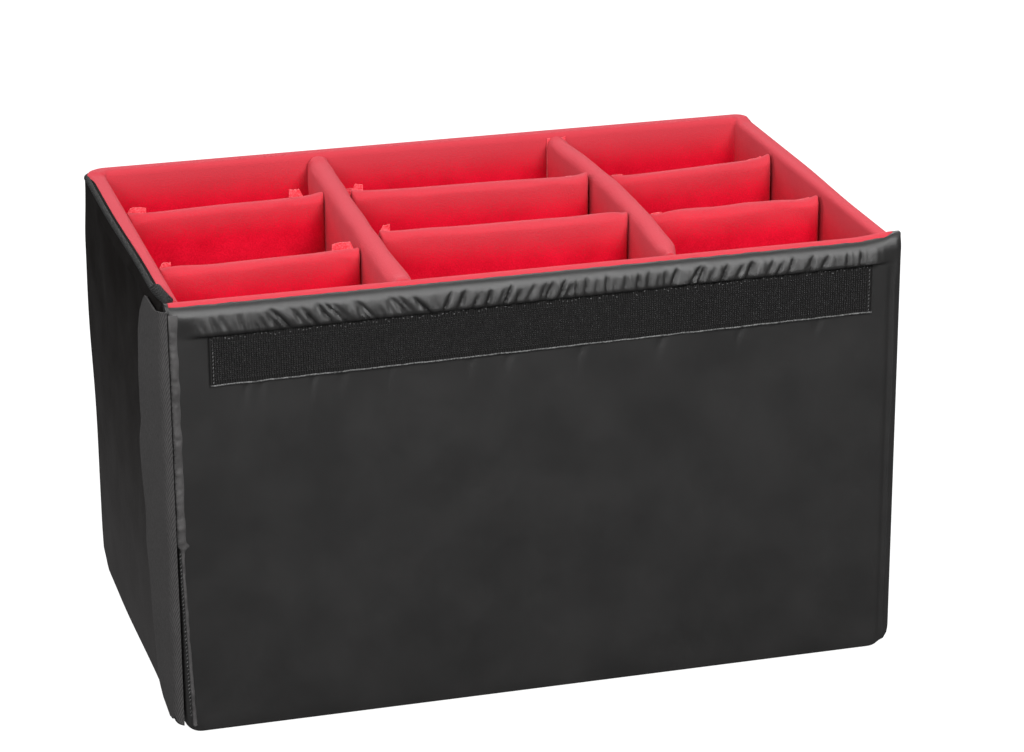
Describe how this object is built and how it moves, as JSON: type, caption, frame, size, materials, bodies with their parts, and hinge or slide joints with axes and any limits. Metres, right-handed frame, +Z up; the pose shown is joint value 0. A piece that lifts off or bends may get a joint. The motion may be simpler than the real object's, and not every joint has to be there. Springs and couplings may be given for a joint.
{
  "type": "case divider set",
  "caption": "Open padded box insert with a soft loop lining and lift-out padded dividers that hook in to make compartments; its front wall swings open.",
  "frame": {"origin": "centre of the footprint, on the surface the set stands on", "axes": "+Z up out of the compartments, +X along the long side to the right seen from the front, front hook strip facing -Y"},
  "size_m": [0.5495, 0.3452, 0.325],
  "materials": {
    "nylon_cover": "tightly woven nylon with a slight sheen, puckered at its seams",
    "red_loop_lining": "brushed loop cloth with a short matt nap",
    "foam_board": "closed-cell foam, matt",
    "hook_tape": "rows of small stiff hooks, stitched at the edges",
    "red_hook_tab": "rows of small hooks on a red tape",
    "grey_loop_flap": "brushed grey loop cloth, matt",
    "grey_hem": "nylon folded to a gathered hem"
  },
  "bodies": {
    "wrap": {"back_wall_cover": "nylon_cover", "back_wall_lining": "red_loop_lining", "back_wall_foam": "foam_board", "left_wall_cover": "nylon_cover", "left_wall_lining": "red_loop_lining", "left_wall_foam": "foam_board", "right_wall_cover": "nylon_cover", "right_wall_lining": "red_loop_lining", "right_wall_foam": "foam_board", "base_cover": "nylon_cover", "base_lining": "red_loop_lining", "base_foam": "foam_board", "closure_hook_tape": "hook_tape", "left_binding_end": "nylon_cover", "hinge_seam": "nylon_cover"},
    "front_wall": {"front_wall_cover": "nylon_cover", "front_wall_lining": "red_loop_lining", "front_wall_foam": "foam_board", "front_hook_strip": "hook_tape", "front_wall_hem": "grey_hem"},
    "closure_flap": {"closure_flap": "grey_loop_flap"},
    "left_long_divider": {"left_long_divider_cover": "red_loop_lining", "left_long_divider_foam": "foam_board", "left_long_divider_first_tab": "red_hook_tab", "left_long_divider_second_tab": "red_hook_tab"},
    "right_long_divider": {"right_long_divider_cover": "red_loop_lining", "right_long_divider_foam": "foam_board", "right_long_divider_first_tab": "red_hook_tab", "right_long_divider_second_tab": "red_hook_tab"},
    "left_front_divider": {"left_front_divider_cover": "red_loop_lining", "left_front_divider_foam": "foam_board", "left_front_divider_first_tab": "red_hook_tab", "left_front_divider_second_tab": "red_hook_tab"},
    "left_rear_divider": {"left_rear_divider_cover": "red_loop_lining", "left_rear_divider_foam": "foam_board", "left_rear_divider_first_tab": "red_hook_tab", "left_rear_divider_second_tab": "red_hook_tab"},
    "middle_front_divider": {"middle_front_divider_cover": "red_loop_lining", "middle_front_divider_foam": "foam_board", "middle_front_divider_first_tab": "red_hook_tab", "middle_front_divider_second_tab": "red_hook_tab"},
    "middle_rear_divider": {"middle_rear_divider_cover": "red_loop_lining", "middle_rear_divider_foam": "foam_board", "middle_rear_divider_first_tab": "red_hook_tab", "middle_rear_divider_second_tab": "red_hook_tab"},
    "right_front_divider": {"right_front_divider_cover": "red_loop_lining", "right_front_divider_foam": "foam_board", "right_front_divider_first_tab": "red_hook_tab", "right_front_divider_second_tab": "red_hook_tab"},
    "right_rear_divider": {"right_rear_divider_cover": "red_loop_lining", "right_rear_divider_foam": "foam_board", "right_rear_divider_first_tab": "red_hook_tab", "right_rear_divider_second_tab": "red_hook_tab"}
  },
  "joints": [
    {"name": "front_wall_swing", "type": "hinge", "parent": "wrap", "child": "front_wall", "pos_m": [0.273, -0.15635, 0], "axis": [0, 0, 1], "range_deg": [0, 110]},
    {"name": "closure_flap_peel", "type": "hinge", "parent": "front_wall", "child": "closure_flap", "pos_m": [-0.274, -0.17, 0], "axis": [0, 0, 1], "range_deg": [0, 160]},
    {"name": "left_long_divider_lift", "type": "slide", "parent": "wrap", "child": "left_long_divider", "axis": [0, 0, 1], "range_m": [0, 0.33]},
    {"name": "right_long_divider_lift", "type": "slide", "parent": "wrap", "child": "right_long_divider", "axis": [0, 0, 1], "range_m": [0, 0.33]},
    {"name": "left_front_divider_lift", "type": "slide", "parent": "wrap", "child": "left_front_divider", "axis": [0, 0, 1], "range_m": [0, 0.33]},
    {"name": "left_rear_divider_lift", "type": "slide", "parent": "wrap", "child": "left_rear_divider", "axis": [0, 0, 1], "range_m": [0, 0.33]},
    {"name": "middle_front_divider_lift", "type": "slide", "parent": "wrap", "child": "middle_front_divider", "axis": [0, 0, 1], "range_m": [0, 0.33]},
    {"name": "middle_rear_divider_lift", "type": "slide", "parent": "wrap", "child": "middle_rear_divider", "axis": [0, 0, 1], "range_m": [0, 0.33]},
    {"name": "right_front_divider_lift", "type": "slide", "parent": "wrap", "child": "right_front_divider", "axis": [0, 0, 1], "range_m": [0, 0.33]},
    {"name": "right_rear_divider_lift", "type": "slide", "parent": "wrap", "child": "right_rear_divider", "axis": [0, 0, 1], "range_m": [0, 0.33]}
  ]
}
